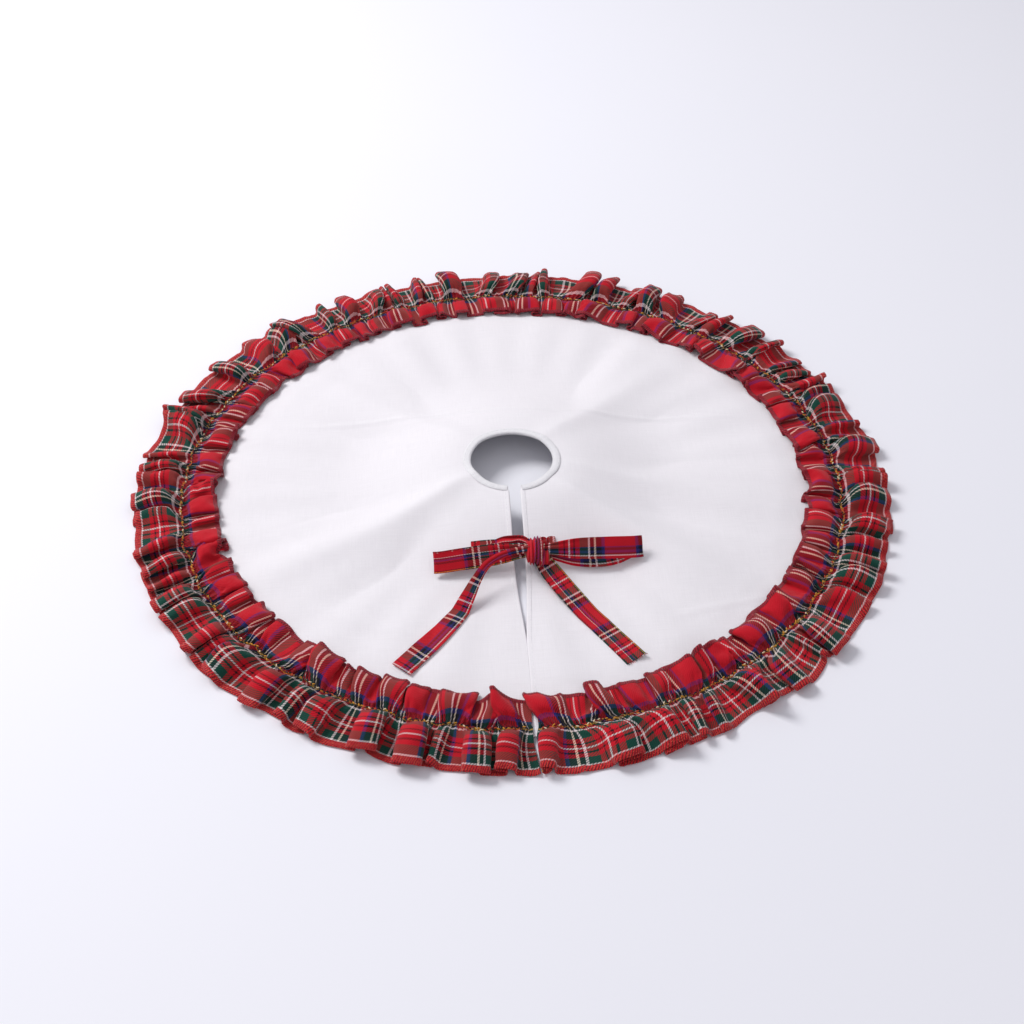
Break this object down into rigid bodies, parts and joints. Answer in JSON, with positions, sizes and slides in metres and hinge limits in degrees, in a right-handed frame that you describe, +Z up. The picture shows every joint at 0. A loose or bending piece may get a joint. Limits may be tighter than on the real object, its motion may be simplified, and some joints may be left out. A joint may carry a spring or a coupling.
{
  "type": "tree skirt",
  "caption": "Round white tree skirt with a front slit, a gathered red tartan plaid ruffle round its rim, and ribbon ties knotted in a bow across the slit.",
  "frame": {"origin": "on the floor, at the centre of the trunk opening", "axes": "+Z up, -Y to the front along the slit, +X to the right of someone facing the slit"},
  "size_m": [0.9144, 0.9144, 0.0368],
  "materials": {
    "panel_cloth": "matte linen-look plain weave",
    "lining_cloth": "matte plain weave",
    "panel_hem": "matte, turned and stitched",
    "tartan_ruffle": "matte yarn-dyed tartan twill",
    "overlock_thread": "overlocked thread",
    "gather_thread": "gathered stitching",
    "tartan_ribbon": "matte yarn-dyed tartan ribbon",
    "tie_thread": "sewing thread"
  },
  "bodies": {
    "skirt": {"bow_knot": "tartan_ribbon", "gather_stitch_main": "gather_thread", "lining_main": "lining_cloth", "outer_hem_main": "panel_hem", "overlock_inner_main": "overlock_thread", "overlock_outer_main": "overlock_thread", "panel_main": "panel_cloth", "ruffle_back": "tartan_ruffle", "ruffle_left": "tartan_ruffle", "ruffle_right": "tartan_ruffle", "slit_hem_left_upper": "panel_hem", "slit_hem_right_upper": "panel_hem", "tie_root_left": "tartan_ribbon", "tie_root_right": "tartan_ribbon", "tie_stitch_left": "tie_thread", "tie_stitch_right": "tie_thread", "trunk_binding": "panel_hem"},
    "left_corner": {"gather_stitch_left_corner": "gather_thread", "lining_left_corner": "lining_cloth", "outer_hem_left_corner": "panel_hem", "overlock_inner_front_left": "overlock_thread", "overlock_outer_front_left": "overlock_thread", "panel_left_corner": "panel_cloth", "ruffle_front_left": "tartan_ruffle", "slit_hem_left_lower": "panel_hem"},
    "right_corner": {"gather_stitch_right_corner": "gather_thread", "lining_right_corner": "lining_cloth", "outer_hem_right_corner": "panel_hem", "overlock_inner_front_right": "overlock_thread", "overlock_outer_front_right": "overlock_thread", "panel_right_corner": "panel_cloth", "ruffle_front_right": "tartan_ruffle", "slit_hem_right_lower": "panel_hem"},
    "left_loop": {"bow_loop_left": "tartan_ribbon"},
    "right_loop": {"bow_loop_right": "tartan_ribbon"},
    "left_tail": {"bow_tail_left": "tartan_ribbon"},
    "right_tail": {"bow_tail_right": "tartan_ribbon"}
  },
  "joints": [
    {"name": "left_corner_lift", "type": "hinge", "parent": "skirt", "child": "left_corner", "pos_m": [0, -0.328, 0.019], "axis": [-0.9976, -0.0698, 0], "range_deg": [0, 90]},
    {"name": "right_corner_lift", "type": "hinge", "parent": "skirt", "child": "right_corner", "pos_m": [0, -0.328, 0.019], "axis": [-0.9976, 0.0698, 0], "range_deg": [0, 90]},
    {"name": "left_loop_swing", "type": "hinge", "parent": "skirt", "child": "left_loop", "pos_m": [0.018, -0.156, 0.027], "axis": [0, 0, 1], "range_deg": [-10, 5]},
    {"name": "right_loop_swing", "type": "hinge", "parent": "skirt", "child": "right_loop", "pos_m": [0.018, -0.156, 0.027], "axis": [0, 0, 1], "range_deg": [-10, 10]},
    {"name": "left_tail_swing", "type": "hinge", "parent": "skirt", "child": "left_tail", "pos_m": [0.018, -0.156, 0.027], "axis": [0, 0, 1], "range_deg": [-8, 3]},
    {"name": "right_tail_swing", "type": "hinge", "parent": "skirt", "child": "right_tail", "pos_m": [0.018, -0.156, 0.027], "axis": [0, 0, 1], "range_deg": [-8, 12]}
  ]
}
